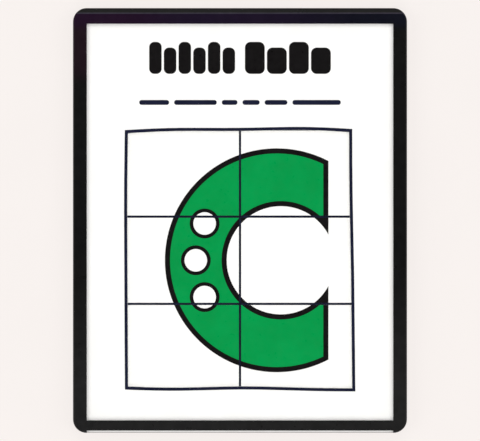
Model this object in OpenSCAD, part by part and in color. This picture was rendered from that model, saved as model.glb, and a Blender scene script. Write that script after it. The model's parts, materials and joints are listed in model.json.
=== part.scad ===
// Sliding tile puzzle: six picture tiles, two columns by three rows, slide in a bay under a white
// face board. The bay has a fourth row, hidden by the board, so that a column can move up by one
// cell. The board slides out through a slot under the frame's bottom rail.
// The puzzle lies on its back: +X is right, +Y is the header end, +Z leaves the face.

/* [Frame] */
// Width of the page opening
page_w = 215.9; // [184:0.1:260]
// Length of the page opening
page_l = 279.4; // [274:0.1:335]
// Width of each side rail
side_rail_w = 9.65; // [8.5:0.05:14]
// Width of the top rail
top_rail_w = 10.95; // [8.5:0.05:14]
// Width of the bottom rail's bridge
bottom_rail_w = 7.05; // [6:0.05:12]
// Depth of the notch that shows the board's end
notch_d = 1.75; // [1:0.05:4]
// Radius of the frame's outer corners
corner_r = 9.6; // [7:0.1:16]
// Radius of the frame's rolled outer edge
edge_r = 1; // [0.5:0.1:3]
// Width of the shallow bevel along the top rail
bevel_w = 3.5; // [1:0.1:7]
// How far the bevel drops at the frame's end
bevel_drop = 0.4; // [0.1:0.1:1]
// Thickness of the lip over the board
lip_t = 2; // [1.5:0.1:4]

/* [Tiles] */
// Width of one cell
pitch_x = 80.6; // [60:0.1:96]
// Length of one cell
pitch_y = 61.6; // [46:0.1:62]
// Thickness of a tile
tile_t = 4.4; // [4:0.1:8]
// Gap between two tiles
tile_gap = 0.3; // [0.2:0.05:0.6]
// Width of the rim around a tile's picture card
rim_w = 0.55; // [0.4:0.05:2]
// Depth of a tile's tongue
tongue_d = 1.5; // [1:0.1:2.5]
// Thickness of a tile's tongue
tongue_t = 1.2; // [0.8:0.1:1.6]
// Thickness of a picture card
card_t = 0.8; // [0.4:0.1:1.2]

/* [Face board] */
// Thickness of the face board
board_t = 1.8; // [1.4:0.1:3]
// How far the board reaches under the rails
board_tuck = 3; // [2:0.1:5]
// How far the window's edge covers the tiles
window_lap = 2.1; // [1.8:0.1:4]
// Thickness of the vinyl layers
vinyl_t = 0.12; // [0.1:0.01:0.3]
// Width of the outline around the window
trim_w = 2.2; // [1:0.1:3]
// How far the window's sides stray from straight
window_bow = 1.4; // [0:0.1:1.8]

/* [Picture] */
// Radius of the open ring's outer edge
ring_r = 79; // [60:0.5:84]
// Radius of the ring's hole
hole_r = 38.2; // [28:0.1:46]
// Width of the black outline
line_w = 3.6; // [2:0.1:4]
// Distance from the middle of the window to the ring's centre
ring_x = 26; // [10:0.5:30]
// Distance from the ring's centre to the hole's centre
hole_shift = 2.8; // [0:0.1:6]
// Distance from the middle of the window to the straight cut
cut_x = 62.4; // [50:0.1:66]
// Radius of the white spots
spot_r = 8; // [4:0.1:10]
// Angle from one spot to the next
spot_step = 27; // [22:1:34]

/* [Header] */
// Height of a tall header bar
bar_h = 22.5; // [16:0.5:26]
// Height of a short header bar
bar_low = 18.5; // [10:0.5:22]
// Gap between two header bars
bar_gap = 1.6; // [1:0.1:3]
// Length of the row of header bars
header_w = 128; // [100:1:170]
// Thickness of a header dash
dash_h = 3.4; // [2:0.1:5]
// Gap between two header dashes
dash_gap = 3.6; // [3:0.1:6]
// Distance from the page's top edge to the middle of the bars
header_drop = 24; // [16:0.5:30]
// Distance from the page's top edge to the middle of the dashes
dash_drop = 55.4; // [46:0.1:66]

/* [Back] */
// Thickness of the rear cover
cover_t = 2; // [1.6:0.1:4]
// Thickness of the tile bed
bed_t = 2.4; // [1.6:0.1:5]
// Width of a guide rail
guide_w = 11; // [8:0.5:12]
// Radius of a rubber foot
foot_r = 6; // [4:0.5:10]
// How far the feet stand out of the rear cover
foot_proud = 1.2; // [0.8:0.1:3]
// Depth of a foot's seat in the rear cover
foot_seat = 0.8; // [0.4:0.1:1.2]
// Radius of a cover screw's shank
screw_r = 1.1; // [0.8:0.1:1.5]
// Length of a cover screw
screw_l = 7; // [6:0.5:8]

/* [Hidden] */
$fn = 96;
fit = 0.15;                                  // clearance around a piece that drops into another
slide_gap = 0.1;                             // clearance above and below what slides
thread_gap = 0.05;                           // clearance around a screw in its hole in the frame

COLUMNS = [["left", 0], ["right", 1]];
ROWS = [["bottom", 0], ["middle", 1], ["top", 2]];
rows_in_bay = len(ROWS) + 1;
CELLS = [for (row = ROWS) for (column = COLUMNS)
    [str(row[0], "_", column[0]), column[1], row[1]]];
// the tile beside the ring's mouth shows only the black tips
function has_green(cell) = cell[0] != "middle_right";
GREEN_CELLS = [for (cell = CELLS) if (has_green(cell)) cell];
FEET = [["front_left", -1, -1], ["front_right", 1, -1], ["back_left", -1, 1], ["back_right", 1, 1]];

// outer size
frame_w = page_w + 2 * side_rail_w;
frame_l = page_l + top_rail_w + bottom_rail_w + notch_d;
page_top = frame_l / 2 - top_rail_w;
page_bottom = page_top - page_l;

// heights, from the table up
z_cover = foot_proud;
z_bed = z_cover + cover_t;
z_floor = z_bed + bed_t;
z_tile = z_floor + slide_gap;
z_face = z_tile + tile_t;
z_guide_top = z_face + vinyl_t + slide_gap;
z_board = z_guide_top + slide_gap;
z_page = z_board + board_t;
z_lip = z_page + vinyl_t + 2 * slide_gap;
z_top = z_lip + lip_t;

// tiles and the bay that they run in
tile_w = pitch_x - tile_gap;
tile_l = pitch_y - tile_gap;
bay_w = 2 * pitch_x;
bay_l = rows_in_bay * pitch_y;
bay_bottom = page_bottom + (page_l - bay_l) * 0.615;
tongue_inset = tongue_d + 1;
groove_d = tongue_d + 0.4;
groove_t = tongue_t + 0.3;
z_tongue = z_tile + (tile_t - card_t) / 2;
card_gap = 0.1;
card_w = tile_w - 2 * (rim_w + card_gap);
card_l = tile_l - 2 * (rim_w + card_gap);

// face board, its window and what is printed round it
board_w = page_w + 2 * board_tuck;
window_w = bay_w - 2 * window_lap;
window_l = len(ROWS) * pitch_y - 2 * window_lap;
window_y = bay_bottom + len(ROWS) * pitch_y / 2;
ring_y = window_y;

// rear cover, its screws and feet
cover_lap = side_rail_w - 2.8;
cover_w = page_w + 2 * cover_lap;
cover_l = frame_l - 2 * (side_rail_w - cover_lap);
cover_corner = corner_r - (side_rail_w - cover_lap);
screw_head_r = 2 * screw_r;
screw_head_h = screw_r;
screw_x = page_w / 2 + side_rail_w * 0.38;
screw_y = frame_l / 2 - side_rail_w * 0.62;
SCREWS = concat(
    [for (x = [-1, 0, 1]) for (y = [-1, 1]) [x * (screw_x - corner_r * 0.35), y * screw_y]],
    [for (x = [-1, 1]) for (y = [-1, 1]) [x * screw_x, y * frame_l / 6]]);
foot_x = frame_w / 2 - side_rail_w - foot_r - 8;
foot_y = frame_l / 2 - top_rail_w - foot_r - 8;

// header rows
header_y = page_top - header_drop;
dash_y = page_top - dash_drop;
BAR_WORDS = [6, 4];
word_gap = 7;
DASHES = [21, 30, 11, 12, 16, 34];

navy = "#191d33";
black = "#161616";
white = "#fbfbf9";

// ---- shapes used more than once ----

function sum(list, n) = n <= 0 ? 0 : list[n - 1] + sum(list, n - 1);

module box_at(x0, x1, y0, y1, z0, z1) {
    translate([x0, y0, z0]) cube([x1 - x0, y1 - y0, z1 - z0]);
}

// A plate with round corners, centred on x and y, from z0 up by h.
module round_plate(w, l, r, z0, h) {
    translate([0, 0, z0]) linear_extrude(h) union() {
        square([w - 2 * r, l], center = true);
        square([w, l - 2 * r], center = true);
        for (x = [-1, 1], y = [-1, 1])
            translate([x * (w / 2 - r), y * (l / 2 - r)]) circle(r);
    }
}

// One straight edge's section, with its top outer corner rolled to the radius e.
module rolled_section(half, e, h) {
    translate([-half, 0]) square([2 * half, h - e]);
    translate([-half + e, 0]) square([2 * (half - e), h]);
    for (x = [-1, 1]) translate([x * (half - e), h - e]) circle(e);
}

// A plate whose top outer edge is rolled all round.
module rolled_plate(w, l, r, e, z0, h) {
    translate([0, 0, z0]) {
        rotate([90, 0, 0]) linear_extrude(l - 2 * r, center = true) rolled_section(w / 2, e, h);
        rotate([90, 0, 90]) linear_extrude(w - 2 * r, center = true) rolled_section(l / 2, e, h);
        for (x = [-1, 1], y = [-1, 1]) translate([x * (w / 2 - r), y * (l / 2 - r), 0])
            rotate_extrude() intersection() {
                rolled_section(r, e, h);
                square([r + 1, h + 1]);
            }
    }
}

// ---- frame and back ----

module bezel_frame() color(black) difference() {
    rolled_plate(frame_w, frame_l, corner_r, edge_r, z_cover, z_top - z_cover);
    // page opening and the room under it
    box_at(-page_w / 2, page_w / 2, page_bottom, page_top, z_cover - 1, z_top + 1);
    // slot for the face board, open at the bottom end
    box_at(-board_w / 2 - fit, board_w / 2 + fit, -frame_l / 2 - 1, page_top + board_tuck + fit,
        z_guide_top, z_lip);
    // shallow bevel along the top rail
    translate([0, frame_l / 2, z_top]) rotate([90, 0, 90]) linear_extrude(frame_w + 2, center = true)
        polygon([[-bevel_w, 0], [0, -bevel_drop], [1, -bevel_drop], [1, 1], [-bevel_w, 1]]);
    // notch that bares the board's end
    box_at(-page_w / 2, page_w / 2, -frame_l / 2 - 1, -frame_l / 2 + notch_d, z_guide_top, z_top + 1);
    // seat of the rear cover
    round_plate(cover_w + 2 * fit, cover_l + 2 * fit, cover_corner + fit, z_cover - 1, cover_t + 1);
    for (p = SCREWS) translate([p.x, p.y, z_bed - 1])
        cylinder(r = screw_r + thread_gap, h = screw_l - cover_t + 1.5);
}

module rear_cover() color("#26262a") difference() {
    round_plate(cover_w, cover_l, cover_corner, z_cover, cover_t);
    for (p = SCREWS) translate([p.x, p.y, 0]) {
        cylinder(r = screw_r + fit, h = z_bed + 1);
        translate([0, 0, z_cover]) cylinder(r1 = screw_head_r + fit, r2 = screw_r + fit, h = screw_head_h);
    }
    for (f = FEET) translate([f[1] * foot_x, f[2] * foot_y, z_cover - 1])
        cylinder(r = foot_r + fit, h = foot_seat + 1);
}

module cover_screws() color("#8d9094") for (p = SCREWS) translate([p.x, p.y, z_cover]) difference() {
    union() {
        cylinder(r1 = screw_head_r, r2 = screw_r, h = screw_head_h);
        cylinder(r = screw_r, h = screw_l - screw_r);
        translate([0, 0, screw_l - screw_r]) cylinder(r1 = screw_r, r2 = screw_r * 0.3, h = screw_r);
    }
    for (turn = [0, 90]) rotate(turn) translate([0, 0, screw_r * 0.25])
        cube([screw_r * 2, screw_r * 0.4, screw_r * 0.6], center = true);
}

module foot(f) color("#2b2b2b") translate([f[1] * foot_x, f[2] * foot_y, 0]) {
    cylinder(r1 = foot_r - 0.4, r2 = foot_r, h = 0.4);
    translate([0, 0, 0.4]) cylinder(r = foot_r, h = foot_proud + foot_seat - 0.4);
}

module tile_bed() color("#20222c") translate([0, 0, z_bed])
    box_at(-page_w / 2 + fit, page_w / 2 - fit, page_bottom + fit, page_top - fit, 0, bed_t);

// ---- guide rails around the bay ----

// A rail along x, centred, whose inner face is the plane y = 0.
module guide_bar(l) {
    box_at(-l / 2, l / 2, -guide_w, 0, z_floor, z_guide_top);
}

// The rib and the channel follow the tile's own tongue and groove.
module rail_rib(l) {
    box_at(-l / 2, l / 2, -1, tongue_d, z_tongue - tongue_t / 2, z_tongue + tongue_t / 2);
}

module rail_channel(l) {
    box_at(-l / 2, l / 2, -groove_d, 1, z_tongue - groove_t / 2, z_tongue + groove_t / 2);
}

module left_guide_rail() color("#3a3d4a") translate([-bay_w / 2, bay_bottom + bay_l / 2, 0]) rotate(-90) {
    guide_bar(bay_l + 2 * guide_w);
    rail_rib(bay_l - 2 * tongue_inset);
}

module right_guide_rail() color("#3a3d4a")
    translate([bay_w / 2, bay_bottom + bay_l / 2, 0]) rotate(90) difference() {
        guide_bar(bay_l + 2 * guide_w);
        rail_channel(bay_l + 2 * guide_w + 2);
    }

module top_guide_rail() color("#3a3d4a") translate([0, bay_bottom + bay_l, 0]) rotate(180) {
    guide_bar(bay_w);
    rail_rib(bay_w - 2 * tongue_inset);
}

module bottom_guide_rail() color("#3a3d4a") translate([0, bay_bottom, 0]) difference() {
    guide_bar(bay_w);
    rail_channel(bay_w + 2);
}

// ---- face board ----

// The window is cut as if by hand. Its corners miss those of a rectangle by the vectors here, from
// the bottom left round to the right, and its sides bow out between them by the sum of three waves.
CORNER_MISS = [[-0.4, 1.4], [0.6, 0.1], [-1.6, 0.1], [-0.5, -0.7]];
SIDE_WAVES = [[-0.2, 0.25, 0.3], [0, 0.15, -0.05], [1.2, 0.1, 0.35], [0.35, 0.1, 0.05]];
side_steps = 16;

function window_corner(i) =
    [(i == 1 || i == 2 ? 1 : -1) * window_w / 2, (i >= 2 ? 1 : -1) * window_l / 2] + CORNER_MISS[i];

function bow(i, t) = window_bow
    * (SIDE_WAVES[i][0] * sin(180 * t) + SIDE_WAVES[i][1] * sin(360 * t) + SIDE_WAVES[i][2] * sin(540 * t));

// A point t of the way along side i of the window grown by out.
function window_point(i, t, out) = let (
        start = window_corner(i) + [sign(window_corner(i).x), sign(window_corner(i).y)] * out,
        next = window_corner((i + 1) % 4),
        end = next + [sign(next.x), sign(next.y)] * out,
        outward = [sin(90 * i), -cos(90 * i)])
    start * (1 - t) + end * t + outward * bow(i, t);

// The window's outline grown by out, from z0 up by h.
module window_shape(out, z0, h) translate([0, window_y, z0]) linear_extrude(h)
    polygon([for (i = [0:3]) for (k = [0:side_steps - 1]) window_point(i, k / side_steps, out)]);

module face_board() color(white) difference() {
    box_at(-board_w / 2, board_w / 2, -frame_l / 2, page_top + board_tuck, z_board, z_page);
    window_shape(0, z_board - 1, board_t + 2);
    // the end's corners follow the frame's
    for (x = [-1, 1]) translate([x * frame_w / 2, -frame_l / 2, z_board - 1]) difference() {
        cylinder(r = 0.9 * corner_r, h = board_t + 2);
        translate([-x * corner_r, corner_r, -1]) cylinder(r = corner_r, h = board_t + 4);
    }
}

// The outline's inner edge is the window's own.
module window_trim() color(navy) difference() {
    window_shape(trim_w, z_page, vinyl_t);
    window_shape(0, z_page - 1, vinyl_t + 2);
}

// A row of upright bars with round ends stands where a heading would be.
module bar(x, w, h) {
    r = min(w * 0.42, 4);
    translate([x + w / 2, header_y - bar_h / 2 + h / 2, 0]) round_plate(w, h, r, z_page, vinyl_t);
}

module header_bars() color(black) {
    word_w = (header_w - word_gap) / len(BAR_WORDS);
    for (word = [0:len(BAR_WORDS) - 1]) {
        count = BAR_WORDS[word];
        w = (word_w - (count - 1) * bar_gap) / count;
        start = -header_w / 2 + word * (word_w + word_gap);
        for (i = [0:count - 1])
            bar(start + i * (w + bar_gap), w, i % 2 == 0 ? bar_h : bar_low);
    }
}

// A line of dashes stands where a line of small print would be.
module header_dashes() color(navy) {
    row_w = sum(DASHES, len(DASHES)) + (len(DASHES) - 1) * dash_gap;
    for (i = [0:len(DASHES) - 1])
        translate([-row_w / 2 + sum(DASHES, i) + i * dash_gap + DASHES[i] / 2, dash_y, 0])
            round_plate(DASHES[i], dash_h, dash_h * 0.49, z_page, vinyl_t);
}

// ---- tiles ----

// Moves what it holds from the origin to the middle of a cell.
module at_cell(cell) translate([
    -bay_w / 2 + (cell[1] + 0.5) * pitch_x,
    bay_bottom + (cell[2] + 0.5) * pitch_y, 0]) children();

module tile_block(cell) color(navy) at_cell(cell) difference() {
    union() {
        box_at(-tile_w / 2, tile_w / 2, -tile_l / 2, tile_l / 2, z_tile, z_face);
        // tongues on the right and bottom sides
        box_at(tile_w / 2 - 1, tile_w / 2 + tongue_d, -tile_l / 2 + tongue_inset, tile_l / 2 - tongue_inset,
            z_tongue - tongue_t / 2, z_tongue + tongue_t / 2);
        box_at(-tile_w / 2 + tongue_inset, tile_w / 2 - tongue_inset, -tile_l / 2 - tongue_d, -tile_l / 2 + 1,
            z_tongue - tongue_t / 2, z_tongue + tongue_t / 2);
    }
    // grooves in the left and top sides
    box_at(-tile_w, -tile_w / 2 + groove_d, -tile_l, tile_l,
        z_tongue - groove_t / 2, z_tongue + groove_t / 2);
    box_at(-tile_w, tile_w, tile_l / 2 - groove_d, tile_l,
        z_tongue - groove_t / 2, z_tongue + groove_t / 2);
    // seat of the picture card
    box_at(-tile_w / 2 + rim_w, tile_w / 2 - rim_w, -tile_l / 2 + rim_w, tile_l / 2 - rim_w,
        z_face - card_t, z_face + 1);
}

// The slab of space over one cell's card, where its vinyl lies.
module card_area(cell, z0, h) at_cell(cell)
    box_at(-card_w / 2, card_w / 2, -card_l / 2, card_l / 2, z0, z0 + h);

module picture_card(cell) color(white) card_area(cell, z_face - card_t, card_t);

// The open ring, shrunk on every side by inset: a disc with an offset hole and a straight cut.
module open_ring(inset, h) translate([ring_x, ring_y, z_face]) difference() {
    cylinder(r = ring_r - inset, h = h, $fn = 180);
    translate([hole_shift, 0, -1]) cylinder(r = hole_r + inset, h = h + 2, $fn = 144);
    box_at(cut_x - ring_x - inset, 2 * ring_r, -2 * ring_r, 2 * ring_r, -1, h + 1);
}

// Three spots along the middle of the band, at its closed side.
spot_line_w = 0.7 * line_w;
band_r = (ring_r + hole_r - hole_shift) / 2;
SPOT_ANGLES = [for (i = [-1:1]) 180 + i * spot_step];

module spots(r, reach) for (a = SPOT_ANGLES)
    translate([ring_x + band_r * cos(a), ring_y + band_r * sin(a), z_face - reach])
        cylinder(r = r, h = 2 * reach);

module green_vinyl(cell) color("#009c4c") intersection() {
    card_area(cell, z_face, vinyl_t);
    difference() {
        open_ring(line_w, vinyl_t);
        spots(spot_r + spot_line_w, 1);
    }
}

module black_vinyl(cell) color(black) intersection() {
    card_area(cell, z_face, vinyl_t);
    union() {
        difference() {
            open_ring(0, vinyl_t);
            if (has_green(cell)) open_ring(line_w, vinyl_t);
        }
        difference() {
            spots(spot_r + spot_line_w, 1);
            spots(spot_r, 2);
        }
    }
}

bezel_frame();
rear_cover();
cover_screws();
tile_bed();
left_guide_rail();
right_guide_rail();
top_guide_rail();
bottom_guide_rail();
for (f = FEET)
    foot(f);
face_board();
window_trim();
header_bars();
header_dashes();
for (cell = CELLS) {
    tile_block(cell);
    picture_card(cell);
    black_vinyl(cell);
}
for (cell = GREEN_CELLS)
    green_vinyl(cell);
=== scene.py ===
# %% [markdown]
# # A sliding tile puzzle, dressed for the camera
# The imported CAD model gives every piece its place: a black frame, a white face board with a window,
# and six picture tiles that slide behind it. Blender adds what a drawing leaves out: softened
# edges, real surfaces, a studio. All lengths are in metres, and `MM` turns millimetres into them.

# %% Load the frame
import json
import math

import bmesh
import bpy
from mathutils import Matrix, Vector


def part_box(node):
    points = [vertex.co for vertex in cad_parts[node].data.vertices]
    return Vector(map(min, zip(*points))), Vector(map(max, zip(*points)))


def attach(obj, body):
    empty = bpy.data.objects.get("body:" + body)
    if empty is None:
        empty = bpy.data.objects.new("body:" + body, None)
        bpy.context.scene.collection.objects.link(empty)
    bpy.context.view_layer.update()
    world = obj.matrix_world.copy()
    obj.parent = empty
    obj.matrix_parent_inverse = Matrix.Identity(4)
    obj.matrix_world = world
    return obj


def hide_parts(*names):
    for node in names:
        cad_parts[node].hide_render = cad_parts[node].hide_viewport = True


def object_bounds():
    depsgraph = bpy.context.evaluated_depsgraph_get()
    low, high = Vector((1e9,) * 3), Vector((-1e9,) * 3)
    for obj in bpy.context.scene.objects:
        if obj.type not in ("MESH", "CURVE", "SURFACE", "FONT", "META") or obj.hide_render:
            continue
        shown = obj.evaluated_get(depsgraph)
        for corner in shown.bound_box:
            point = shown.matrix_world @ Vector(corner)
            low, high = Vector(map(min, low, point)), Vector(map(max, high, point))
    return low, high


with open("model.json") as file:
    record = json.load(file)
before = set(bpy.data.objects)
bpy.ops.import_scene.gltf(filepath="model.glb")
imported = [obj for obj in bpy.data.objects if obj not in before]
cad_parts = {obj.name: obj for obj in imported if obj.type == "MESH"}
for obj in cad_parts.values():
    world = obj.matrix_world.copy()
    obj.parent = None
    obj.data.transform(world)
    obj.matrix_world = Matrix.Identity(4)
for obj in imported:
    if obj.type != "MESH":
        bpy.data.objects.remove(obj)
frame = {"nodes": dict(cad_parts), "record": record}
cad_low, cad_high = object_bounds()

MM = 0.001
CAD = frame["nodes"]
BODY_OF = {node: body for body, nodes in frame["record"]["behaviour"]["bodies"].items()
           for node in nodes}
print(len(CAD), "nodes on", len(set(BODY_OF.values())), "bodies, box in mm:",
      [round(v / MM, 1) for v in cad_high - cad_low])

# %% [markdown]
# ## Colour and shader helpers
# Paint charts and screens give colours as sRGB hex, but light adds up in linear values, so one
# function turns hex to linear. A second adds a shader node with its settings and its links. A third
# starts a material with coordinates in millimetres, so that each pattern's size can be read off
# the code: a noise of scale 1 / 0.4 has grains of 0.4 mm.

# %% Colour and shader helpers
def linear(hex_colour):
    channels = [int(hex_colour[i:i + 2], 16) / 255 for i in (1, 3, 5)]
    return (*[c / 12.92 if c <= 0.04045 else ((c + 0.055) / 1.055) ** 2.4 for c in channels], 1.0)


def add_node(material, kind, values={}, links={}, **settings):
    """A shader node: settings are its own options, values go on its inputs, links feed them."""
    node = material.node_tree.nodes.new("ShaderNode" + kind)
    for name, value in settings.items():
        setattr(node, name, value)
    for name, value in values.items():
        node.inputs[name].default_value = value
    for name, socket in links.items():
        material.node_tree.links.new(socket, node.inputs[name])
    return node


def start_material(name, **shader_values):
    """A material with its shader and its coordinates in millimetres."""
    material = bpy.data.materials.new(name)
    material.use_nodes = True
    shader = material.node_tree.nodes["Principled BSDF"]
    for socket, value in shader_values.items():
        shader.inputs[socket.replace("_", " ")].default_value = value
    coordinates = add_node(material, "TexCoord")
    millimetres = add_node(material, "VectorMath", {"Scale": 1 / MM},
                           {0: coordinates.outputs["Object"]}, operation="SCALE")
    return material, shader, millimetres.outputs[0]


print("linear value of mid grey:", round(linear("#808080")[0], 3))

# %% [markdown]
# ## Surface helpers
# Three things make a surface look made: its colour isn't quite even, its polish isn't either, and
# it has a fine relief. Each helper feeds one socket of the shader from a noise of a real size.

# %% Surface helpers
def grain(material, where, size_mm, detail=2.0, stretch=(1, 1, 1)):
    """A noise whose grains are about size_mm across, longer where stretch is over 1."""
    spread = add_node(material, "VectorMath", {1: stretch}, {0: where}, operation="DIVIDE")
    return add_node(material, "TexNoise", {"Scale": 1 / size_mm, "Detail": detail},
                    {"Vector": spread.outputs[0]}).outputs["Fac"]


def tint(material, factor, low_hex, high_hex, low=0.35, high=0.65):
    """A colour that runs from low_hex to high_hex as the factor does from low to high."""
    share = add_node(material, "MapRange", {"From Min": low, "From Max": high}, {"Value": factor})
    return add_node(material, "Mix", {6: linear(low_hex), 7: linear(high_hex)},
                    {0: share.outputs[0]}, data_type="RGBA").outputs[2]


def polish(material, shader, factor, smooth, rough):
    """Roughness between smooth and rough."""
    share = add_node(material, "MapRange",
                     {"From Min": 0.3, "From Max": 0.7, "To Min": smooth, "To Max": rough},
                     {"Value": factor})
    material.node_tree.links.new(share.outputs[0], shader.inputs["Roughness"])


def relief(material, shader, factor, depth_mm, strength=1.0):
    """A fine relief, depth_mm from its lowest to its highest."""
    bump = add_node(material, "Bump", {"Strength": strength, "Distance": depth_mm * MM},
                    {"Height": factor})
    material.node_tree.links.new(bump.outputs[0], shader.inputs["Normal"])


def paint(material, shader, colour):
    material.node_tree.links.new(colour, shader.inputs["Base Color"])


print("surface helpers ready")

# %% [markdown]
# ## Satin black ABS: the frame
# The frame is moulded in ABS filled with carbon black, from a mould polished to a satin. Its colour
# carries painted light: a painted reflection, violet along the top rail, turning blue to the right
# and maroon down the left, and painted light that makes it greyer towards the bottom. The bevel
# along the top rail is neutral and painted a touch paler as a painted highlight, and its crease
# carries a painted highlight. A painted picture could carry all that, but colours that follow the
# frame's own length and width need no unwrapping.

# %% Satin black ABS
def along(material, where, axis, start_mm, end_mm):
    """0 to 1 along one axis of the object, between two places in millimetres."""
    parts = add_node(material, "SeparateXYZ", {}, {0: where})
    return add_node(material, "MapRange", {"From Min": start_mm, "From Max": end_mm},
                    {"Value": parts.outputs[axis]}, interpolation_type="SMOOTHSTEP").outputs[0]


def fade(material, where, axis, start_mm, end_mm, first, second):
    """A colour that turns from the first into the second between two places along an axis."""
    share = along(material, where, axis, start_mm, end_mm)
    return add_node(material, "Mix", {}, {0: share, 6: first, 7: second}, data_type="RGBA").outputs[2]


HALF_W, HALF_L = cad_high.x / MM, cad_high.y / MM
CREASE_Y = HALF_L - 3.5
TOP_RAIL_Y = HALF_L - 9
LEFT_REFLECTION_Y = HALF_L - 40
abs_black, shader, where = start_material("abs_satin_black", IOR=1.53, Specular_IOR_Level=0.15)
mottle = grain(abs_black, where, 6.0, detail=4)
plain = tint(abs_black, mottle, "#0b0b0b", "#0f0f0f")
# Painted light: the bottom of the frame is painted a paler grey.
painted_bottom_light = tint(abs_black, mottle, "#1a1a1a", "#1f1f1f")
# Painted highlight: the top bevel is painted a touch paler than the rails.
bevel = tint(abs_black, mottle, "#0d0d0d", "#111111")
# Painted highlight: a pale line along the bevel's crease.
painted_crease_highlight = tint(abs_black, mottle, "#2e2b35", "#33303a")
# Painted reflection: maroon down the left rail, violet, indigo and blue along the top rail.
maroon = tint(abs_black, mottle, "#180c14", "#1b0e16")
violet = tint(abs_black, mottle, "#1a081d", "#1d0a20")
indigo = tint(abs_black, mottle, "#150b1f", "#180d22")
blue = tint(abs_black, mottle, "#080915", "#0a0b18")
painted_reflection = fade(abs_black, where, "X", -0.7 * HALF_W, -0.3 * HALF_W, violet, indigo)
painted_reflection = fade(abs_black, where, "X", 0, 0.8 * HALF_W, painted_reflection, blue)
painted_left_reflection = fade(abs_black, where, "X", -0.9 * HALF_W, 0, maroon, plain)
colour = fade(abs_black, where, "Y", LEFT_REFLECTION_Y - 16, LEFT_REFLECTION_Y, plain, painted_left_reflection)
colour = fade(abs_black, where, "Y", TOP_RAIL_Y - 9, TOP_RAIL_Y, colour, painted_reflection)
colour = fade(abs_black, where, "Y", CREASE_Y - 0.8, CREASE_Y - 0.5, colour, painted_crease_highlight)
colour = fade(abs_black, where, "Y", CREASE_Y + 0.1, CREASE_Y + 0.5, colour, bevel)
paint(abs_black, shader, fade(abs_black, where, "Y", -20, -0.9 * HALF_L, colour, painted_bottom_light))
polish(abs_black, shader, grain(abs_black, where, 9.0, detail=4), 0.27, 0.31)
relief(abs_black, shader, grain(abs_black, where, 0.35), 0.008)
print("made", abs_black.name)

# %% [markdown]
# ## Spark-eroded ABS: rear cover
# The back is moulded against a spark-eroded steel, which leaves an even, pebbly grain of about
# half a millimetre that hides scratches. Scuffs show as paler, smoother patches.

# %% Spark-eroded ABS
abs_grained, shader, where = start_material("abs_spark_eroded", IOR=1.53, Specular_IOR_Level=0.4)
PEBBLE = 0.45
pebbles = add_node(abs_grained, "TexVoronoi", {"Scale": 1 / PEBBLE, "Randomness": 0.9},
                   {"Vector": where}, feature="SMOOTH_F1").outputs["Distance"]
scuffs = grain(abs_grained, where, 14.0, detail=6, stretch=(3, 1, 1))
paint(abs_grained, shader, tint(abs_grained, scuffs, "#1b1b1e", "#29292d", 0.45, 0.75))
polish(abs_grained, shader, scuffs, 0.62, 0.48)
relief(abs_grained, shader, pebbles, 0.05)
print("made", abs_grained.name)

# %% [markdown]
# ## Extruded ABS strip: guide rails
# The rails are cut from extruded strip. An extruder's die draws fine lines along the length, so
# the noise is stretched forty times one way. The side rails run along Y and the others along X.

# %% Extruded ABS strip
def extruded_strip(name, stretch):
    material, shader, where = start_material(name, IOR=1.53, Specular_IOR_Level=0.45)
    lines = grain(material, where, 0.5, detail=3, stretch=stretch)
    paint(material, shader, tint(material, lines, "#33363f", "#3d404b"))
    polish(material, shader, lines, 0.34, 0.5)
    relief(material, shader, lines, 0.02)
    return material


strip_along_y = extruded_strip("abs_extruded_side_rail", (1, 40, 1))
strip_along_x = extruded_strip("abs_extruded_end_rail", (40, 1, 1))
print("made", strip_along_y.name, "and", strip_along_x.name)

# %% [markdown]
# ## High-pressure laminate: the bed
# The tiles run on a smooth, dark laminate sheet. Their undersides rub it, so it has long, faint
# streaks the way the columns move, a little paler and duller than the sheet between them.

# %% High-pressure laminate
laminate_dark, shader, where = start_material("laminate_tile_bed", IOR=1.5, Specular_IOR_Level=0.45)
streaks = grain(laminate_dark, where, 0.8, detail=4, stretch=(1, 60, 1))
paint(laminate_dark, shader, tint(laminate_dark, streaks, "#1b1d27", "#2b2e3b", 0.4, 0.78))
polish(laminate_dark, shader, streaks, 0.3, 0.46)
relief(laminate_dark, shader, grain(laminate_dark, where, 0.6, detail=3), 0.008)
print("made", laminate_dark.name)

# %% [markdown]
# ## Polystyrene sheet: the face board
# High-impact polystyrene comes off the calender white and soft-glossy, with a very slight
# orange-peel waviness about 2 mm across and hardly any colour variation. The last half
# millimetre of the end that fingers pull is painted grey: painted shade along that edge.

# %% Polystyrene sheet
polystyrene, shader, where = start_material("polystyrene_white_sheet", IOR=1.59,
                                            Specular_IOR_Level=0.4)
cloud = grain(polystyrene, where, 25.0, detail=3)
clean = tint(polystyrene, cloud, "#fafaf8", "#fdfdfc")
# Painted shade: grey along the last half millimetre of the pull end.
painted_edge_shade = tint(polystyrene, cloud, "#aaa6a5", "#b2aead")
paint(polystyrene, shader,
      fade(polystyrene, where, "Y", -HALF_L + 0.75, -HALF_L + 0.35, clean, painted_edge_shade))
polish(polystyrene, shader, grain(polystyrene, where, 5.0, detail=4), 0.36, 0.48)
relief(polystyrene, shader, grain(polystyrene, where, 2.0, detail=3), 0.012)
print("made", polystyrene.name)

# %% [markdown]
# ## Laminated card: the picture's ground
# Each picture card is white board under a clear film. The fibres lie under the film, so they show
# in the colour and not in the relief; the film adds a clear coat that mirrors the lights.

# %% Laminated card
card, shader, where = start_material("card_laminated", IOR=1.5, Roughness=0.42, Coat_Weight=0.35,
                                     Coat_Roughness=0.12, Coat_IOR=1.5)
fibres = grain(card, where, 0.25, detail=4, stretch=(1, 3, 1))
paint(card, shader, tint(card, fibres, "#f9f9f6", "#fefefd"))
relief(card, shader, grain(card, where, 4.0, detail=2), 0.01)
print("made", card.name)

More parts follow.
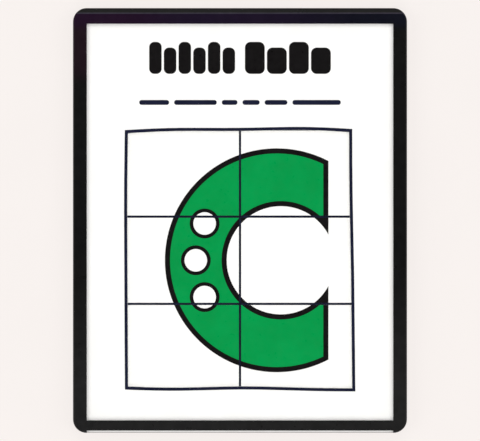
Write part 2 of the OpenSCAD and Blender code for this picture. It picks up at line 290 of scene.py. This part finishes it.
# %% [markdown]
# ## Cast vinyl film: the picture and the marks on the board
# Cut vinyl is a thin, evenly coloured film. Its sheen comes from a skin with an orange peel
# finer than the board's, and its colour drifts a little where the film was stretched.

# %% Cast vinyl film
def vinyl_film(name, dark_hex, light_hex, roughness):
    material, shader, where = start_material(name, IOR=1.54, Specular_IOR_Level=0.12)
    drift = grain(material, where, 18.0, detail=4)
    paint(material, shader, tint(material, drift, dark_hex, light_hex))
    skin = grain(material, where, 3.0, detail=4)
    polish(material, shader, skin, roughness - 0.05, roughness + 0.07)
    relief(material, shader, grain(material, where, 0.8, detail=3), 0.008)
    return material


vinyl_green = vinyl_film("vinyl_green", "#009145", "#00974a", 0.32)
vinyl_black = vinyl_film("vinyl_black", "#0d0b0c", "#110f10", 0.32)
vinyl_navy = vinyl_film("vinyl_navy", "#10142a", "#171b33", 0.36)
print("made", vinyl_green.name, vinyl_black.name, vinyl_navy.name)

# %% [markdown]
# ## Moulded navy ABS: the tiles
# The tile blocks are moulded in coloured ABS. Their edges have slid against each other, so the
# surface varies between the mould's satin and a handled polish.

# %% Moulded navy ABS
abs_navy, shader, where = start_material("abs_moulded_navy", IOR=1.53, Specular_IOR_Level=0.15)
wear = grain(abs_navy, where, 4.0, detail=5, stretch=(1, 3, 1))
paint(abs_navy, shader, tint(abs_navy, wear, "#111529", "#191e38"))
polish(abs_navy, shader, wear, 0.3, 0.42)
relief(abs_navy, shader, grain(abs_navy, where, 0.3), 0.01)
print("made", abs_navy.name)

# %% [markdown]
# ## Rubber and zinc-plated steel: feet and screws
# Natural rubber scatters almost all its light, with pores and a little dust. The screws are zinc
# plated: a metal, so its colour is its reflection, dulled in spots by the crystals of the plating.

# %% Rubber and zinc-plated steel
rubber, shader, where = start_material("rubber_black", IOR=1.52, Specular_IOR_Level=0.25)
pores = grain(rubber, where, 0.4, detail=5)
paint(rubber, shader, tint(rubber, pores, "#1a1a1a", "#2a2a29"))
polish(rubber, shader, pores, 0.72, 0.88)
relief(rubber, shader, pores, 0.04)

zinc, shader, where = start_material("steel_zinc_plated", Metallic=1.0)
crystals = grain(zinc, where, 0.5, detail=4)
paint(zinc, shader, tint(zinc, crystals, "#a3a6aa", "#bcbfc2"))
polish(zinc, shader, crystals, 0.24, 0.42)
relief(zinc, shader, grain(zinc, where, 0.12), 0.006)
print("made", rubber.name, "and", zinc.name)

# %% [markdown]
# ## From CAD solid to finished piece
# CAD edges are perfectly sharp, and nothing real is: a mould or a knife leaves a small radius that
# catches the light. A bevel modifier would work on quads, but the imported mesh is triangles, so
# the mesh is copied, its flat triangles are merged back into whole faces, and then its sharp edges
# are bevelled. The copy replaces the CAD node and rides on the same body.

# %% From CAD solid to finished piece
SHARP = math.radians(28)
FLAT = math.radians(0.3)
WELD = 0.0005 * MM


def finish_piece(piece, material, *nodes):
    """Gives a piece its material and smooth shading, puts it on its body, and hides the nodes that it
    stands for.
    """
    piece.data.materials.clear()
    piece.data.materials.append(material)
    for polygon in piece.data.polygons:
        polygon.use_smooth = True
    normals = piece.modifiers.new("even_shading", "WEIGHTED_NORMAL")
    normals.weight = 90
    normals.keep_sharp = True
    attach(piece, BODY_OF[nodes[0]])
    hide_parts(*nodes)
    return piece


def new_piece(name, mesh_maker):
    """A new object from a bmesh."""
    mesh = bpy.data.meshes.new(name)
    mesh_maker.to_mesh(mesh)
    mesh_maker.free()
    piece = bpy.data.objects.new(name, mesh)
    bpy.context.collection.objects.link(piece)
    return piece


def soften(node, radius_mm, material, segments=2):
    """A copy of a CAD node with whole faces and rounded edges."""
    solid = bmesh.new()
    solid.from_mesh(CAD[node].data)
    bmesh.ops.remove_doubles(solid, verts=solid.verts, dist=WELD)
    bmesh.ops.dissolve_limit(solid, angle_limit=FLAT, verts=solid.verts, edges=solid.edges)
    sharp = [e for e in solid.edges if len(e.link_faces) == 2 and e.calc_face_angle() > SHARP]
    bmesh.ops.bevel(solid, geom=sharp, offset=radius_mm * MM, segments=segments, profile=0.5,
                    affect="EDGES", clamp_overlap=True)
    faces = len(solid.faces)
    piece = finish_piece(new_piece(node + "_finished", solid), material, node)
    print(f"{node}: {len(sharp)} edges rounded to {radius_mm} mm, {faces} faces")
    return piece

# %% [markdown]
# ## The frame and what it holds
# The frame's edges are rounded to 0.3 mm, which is enough for a thin highlight. Sheet pieces are
# sawn or punched, so their edges are tighter.

# %% The frame and what it holds
soften("bezel_frame", 0.3, abs_black, segments=3)
soften("rear_cover", 0.25, abs_grained)
soften("tile_bed", 0.15, laminate_dark)
for side, material in (("left", strip_along_y), ("right", strip_along_y),
                       ("top", strip_along_x), ("bottom", strip_along_x)):
    soften(side + "_guide_rail", 0.15, material)

# %% [markdown]
# ## The face board and its marks
# The board's window is die cut, with a 0.2 mm edge. The outline, bars and dashes are vinyl, so thin
# that only a tiny bevel fits.

# %% The face board and its marks
soften("face_board", 0.2, polystyrene)
soften("window_trim", 0.03, vinyl_navy, segments=1)
soften("header_bars", 0.03, vinyl_black, segments=1)
soften("header_dashes", 0.03, vinyl_navy, segments=1)

# %% [markdown]
# ## The tiles
# Every tile is a block, a card and its vinyl, each a piece of its own that rides on the tile's
# body. A film 0.12 mm thick has room for one small facet along its edge, a block for two.

# %% The tiles
TILE_LAYERS = (("tile_block_", 0.12, abs_navy), ("picture_card_", 0.06, card),
               ("green_vinyl_", 0.03, vinyl_green), ("black_vinyl_", 0.03, vinyl_black))
for prefix, radius_mm, material in TILE_LAYERS:
    for node in sorted(n for n in CAD if n.startswith(prefix)):
        soften(node, radius_mm, material, segments=2 if radius_mm > 0.05 else 1)

# %% [markdown]
# ## Rubber feet
# A moulded foot isn't a plain disc: it has a rounded rim, two grip grooves and a dimple in
# the middle. All of that is round, so one outline is turned about the foot's axis.

# %% Rubber feet
def turn(outline, steps):
    """A solid of (radius, height) points, from axis to axis, turned about z."""
    solid = bmesh.new()
    rings = []
    for radius, height in outline:
        if radius == 0:
            rings.append([solid.verts.new((0, 0, height))])
            continue
        angles = [2 * math.pi * k / steps for k in range(steps)]
        rings.append([solid.verts.new((radius * math.cos(a), radius * math.sin(a), height))
                      for a in angles])
    for lower, upper in zip(rings, rings[1:]):
        for k in range(steps):
            corners = [lower[k % len(lower)], lower[(k + 1) % len(lower)],
                       upper[(k + 1) % len(upper)], upper[k % len(upper)]]
            solid.faces.new(list(dict.fromkeys(corners)))
    bmesh.ops.recalc_face_normals(solid, faces=solid.faces)
    return solid


def arc(centre_r, centre_z, radius, start, end, count):
    """Points of a round stretch of an outline, angles in degrees."""
    angles = [math.radians(start + (end - start) * k / count) for k in range(count + 1)]
    return [(centre_r + radius * math.cos(a), centre_z + radius * math.sin(a)) for a in angles]


RIM = 0.35 * MM
GROOVE_FLOOR = 0.25 * MM
GROOVE_MOUTH = 0.35 * MM
GROOVE_DEPTH = 0.4 * MM
GROOVES_AT = (0.45, 0.68)
DIMPLE = ((0, 0.5 * MM), (0.12, 0.45 * MM), (0.2, 0.15 * MM), (0.26, 0))


def foot_outline(radius, height):
    points = [(radius * share, depth) for share, depth in DIMPLE]
    for share in GROOVES_AT:
        middle = radius * share
        points += [(middle - GROOVE_MOUTH, 0), (middle - GROOVE_FLOOR, GROOVE_DEPTH)]
        points += [(middle + GROOVE_FLOOR, GROOVE_DEPTH), (middle + GROOVE_MOUTH, 0)]
    points += arc(radius - RIM, RIM, RIM, -90, 0, 5)
    points += [(radius, height), (0, height)]
    return points


for node in sorted(n for n in CAD if n.startswith("foot_")):
    low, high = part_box(node)
    foot = turn(foot_outline((high.x - low.x) / 2, high.z - low.z), 64)
    foot.transform(Matrix.Translation(((low.x + high.x) / 2, (low.y + high.y) / 2, low.z)))
    finish_piece(new_piece(node + "_finished", foot), rubber, node)
    print(node, "turned with two grip grooves")

# %% [markdown]
# ## Cover screws
# A countersunk screw is a cone, a threaded shank and a cross recess. The thread is a helix, and a
# helix is a radius that depends on height and angle together, so the shank is a grid of points
# whose radius follows that rule. The recess is cut with a boolean, then ten copies are joined, each
# stopped at another angle by `TURN_STEP`, as screws are.

# %% Cover screws
def solids_of(node):
    """The middle and the low end of each separate solid of a CAD node."""
    solid = bmesh.new()
    solid.from_mesh(CAD[node].data)
    bmesh.ops.remove_doubles(solid, verts=solid.verts, dist=WELD)
    left, found = set(solid.verts), []
    while left:
        island, edge = set(), [left.pop()]
        while edge:
            vert = edge.pop()
            island.add(vert)
            edge += [n for e in vert.link_edges for n in [e.other_vert(vert)] if n in left]
            left.difference_update(edge)
        xs, ys, zs = zip(*[v.co for v in island])
        found.append(Vector(((min(xs) + max(xs)) / 2, (min(ys) + max(ys)) / 2, min(zs))))
    solid.free()
    return sorted(found, key=lambda p: (round(p.y, 4), round(p.x, 4)))


SHANK_R = 1.1 * MM
HEAD_R = 2 * SHANK_R
PITCH = 0.8 * MM
THREAD_DEPTH = 0.18 * SHANK_R
ROWS_PER_TURN = 6
HEAD_RIM = (0.06 * MM, 0.14 * MM)
TIP_GAP = 0.05 * MM
TURN_STEP = math.radians(37)


def screw_solid(length, steps=32):
    """A countersunk screw with its head's face at z = 0 and its tip up."""
    head_h = HEAD_R - SHANK_R
    rows = [(0.9 * HEAD_R, 0, 0)]
    rows += [(HEAD_R, height, 0) for height in HEAD_RIM]
    rows += [(SHANK_R, head_h, 0)]
    thread_end = length - SHANK_R
    count = int((thread_end - head_h) / (PITCH / ROWS_PER_TURN))
    for k in range(1, count):
        rows.append((SHANK_R, head_h + (thread_end - head_h) * k / count, 1))
    rows += [(SHANK_R * 0.8, thread_end, 0), (SHANK_R * 0.25, length - TIP_GAP, 0)]
    solid = bmesh.new()
    rings = []
    for radius, height, threaded in rows:
        ring = []
        for k in range(steps):
            angle = 2 * math.pi * k / steps
            phase = (height / PITCH - k / steps) % 1
            depth = threaded * THREAD_DEPTH * 2 * abs(phase - 0.5)
            ring.append(solid.verts.new(((radius - depth) * math.cos(angle),
                                         (radius - depth) * math.sin(angle), height)))
        rings.append(ring)
    for lower, upper in zip(rings, rings[1:]):
        for k in range(steps):
            solid.faces.new([lower[k], lower[(k + 1) % steps], upper[(k + 1) % steps], upper[k]])
    solid.faces.new(rings[0])
    solid.faces.new(rings[-1])
    bmesh.ops.recalc_face_normals(solid, faces=solid.faces)
    return solid


def cross_solid(width, arm, depth):
    """A tapered cross, as a driver's tip, that stands on z = 0 and points up."""
    solid = bmesh.new()
    outline = []
    for quarter in range(4):
        c, s = math.cos(quarter * math.pi / 2), math.sin(quarter * math.pi / 2)
        for x, y in ((width, width), (width, arm), (-width, arm)):
            outline.append((x * c - y * s, x * s + y * c))
    outline = outline[::-1]
    base = [solid.verts.new((x, y, -0.2 * MM)) for x, y in outline]
    tip = [solid.verts.new((x * 0.6, y * 0.6, depth)) for x, y in outline]
    for k in range(len(outline)):
        following = (k + 1) % len(outline)
        solid.faces.new([base[k], base[following], tip[following], tip[k]])
    solid.faces.new(base)
    solid.faces.new(tip)
    bmesh.ops.recalc_face_normals(solid, faces=solid.faces)
    return solid


low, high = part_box("cover_screws")
screw_places = solids_of("cover_screws")
blank = new_piece("screw_blank", screw_solid(high.z - low.z))
cutter = new_piece("screw_cutter", cross_solid(0.22 * MM, 1.1 * MM, 0.9 * MM))
cut = blank.modifiers.new("recess", "BOOLEAN")
cut.object = cutter
cut.solver = "EXACT"
finished_blank = blank.evaluated_get(bpy.context.evaluated_depsgraph_get())
cut_mesh = bpy.data.meshes.new_from_object(finished_blank)
screws = bmesh.new()
for k, place in enumerate(screw_places):
    one = cut_mesh.copy()
    one.transform(Matrix.Translation(place) @ Matrix.Rotation(TURN_STEP * k, 4, "Z"))
    screws.from_mesh(one)
    bpy.data.meshes.remove(one)
for spare in (blank, cutter):
    bpy.data.objects.remove(spare)
finish_piece(new_piece("cover_screws_finished", screws), zinc, "cover_screws")
print(len(screw_places), "screws, each", round((high.z - low.z) / MM, 1), "mm long")

# %% [markdown]
# ## Floor
# The puzzle lies on a plain, pale light table: paper that is lit from below by `GLOW`, which keeps
# the shadow around the frame faint.

# %% Floor
GLOW = 0.91
FLOOR_R = 25
paper, shader, where = start_material("paper_backdrop", IOR=1.45, Specular_IOR_Level=0.1)
paper_colour = tint(paper, grain(paper, where, 60.0, detail=3), "#615f5e", "#636160")
paint(paper, shader, paper_colour)
shader.inputs["Emission Color"].default_value = linear("#f2ece9")
shader.inputs["Emission Strength"].default_value = GLOW
polish(paper, shader, grain(paper, where, 5.0), 0.85, 0.95)
ground = bmesh.new()
bmesh.ops.create_circle(ground, cap_ends=True, segments=96, radius=FLOOR_R)
floor = new_piece("floor", ground)
floor.data.materials.append(paper)
print("floor is", 2 * FLOOR_R, "m across, so that its edge is the horizon")

# %% [markdown]
# ## Light
# White board and black plastic want opposite things: the board wants a lot of light, the plastic
# shows whatever is straight above it. So the room's walls are bright, its ceiling is dark, and four
# wide, soft lights stand around the table halfway up. Light that wide could come from large area
# lamps, but those fade with distance; a sun lamp with a wide angle lights the whole table alike.

# %% Light
WALLS = 0.9
CEILING = 0.03
LIGHT_HEIGHT = 50
LIGHT_SPREAD = 36
LIGHT_COLOUR = "#fffefd"
world = bpy.data.worlds.new("studio")
bpy.context.scene.world = world
world.use_nodes = True
background = world.node_tree.nodes["Background"]
direction = add_node(world, "TexCoord")
up = add_node(world, "SeparateXYZ", {}, {0: direction.outputs["Generated"]})
level = add_node(world, "MapRange",
                 {"From Min": 0.05, "From Max": 0.7, "To Min": WALLS, "To Max": CEILING},
                 {"Value": up.outputs["Z"]}, interpolation_type="SMOOTHSTEP")
world.node_tree.links.new(level.outputs[0], background.inputs["Strength"])
background.inputs["Color"].default_value = linear(LIGHT_COLOUR)


def soft_light(name, heading, strength):
    """A wide light that stands in the direction of heading, in degrees from +X."""
    lamp = bpy.data.lights.new(name, "SUN")
    lamp.energy = strength
    lamp.angle = math.radians(LIGHT_SPREAD)
    lamp.color = linear(LIGHT_COLOUR)[:3]
    light = bpy.data.objects.new(name, lamp)
    light.rotation_euler = (0, math.radians(90 - LIGHT_HEIGHT), math.radians(heading))
    bpy.context.collection.objects.link(light)
    print(name, "stands at", heading, "degrees, strength", strength)


soft_light("right_light", 0, 0.96)
soft_light("far_light", 90, 0.99)
soft_light("left_light", 180, 0.96)
soft_light("near_light", 270, 0.96)

# %% [markdown]
# ## Camera
# The puzzle is seen straight from above with a long lens, so the frame's sides don't show. The
# distance is set so that the picture is `VIEW_WIDTH` wide at the frame's face.

# %% Camera
LENS = 150
SENSOR = 36
VIEW_WIDTH = 337.8 * MM
eye = bpy.data.cameras.new("camera")
eye.lens = LENS
eye.sensor_width = SENSOR
camera = bpy.data.objects.new("camera", eye)
camera.location = (0, 0, cad_high.z + VIEW_WIDTH * LENS / SENSOR)
bpy.context.collection.objects.link(camera)
bpy.context.scene.camera = camera
bpy.context.scene.view_settings.view_transform = "Standard"
print("camera", round(camera.location.z, 3), "m above the table")
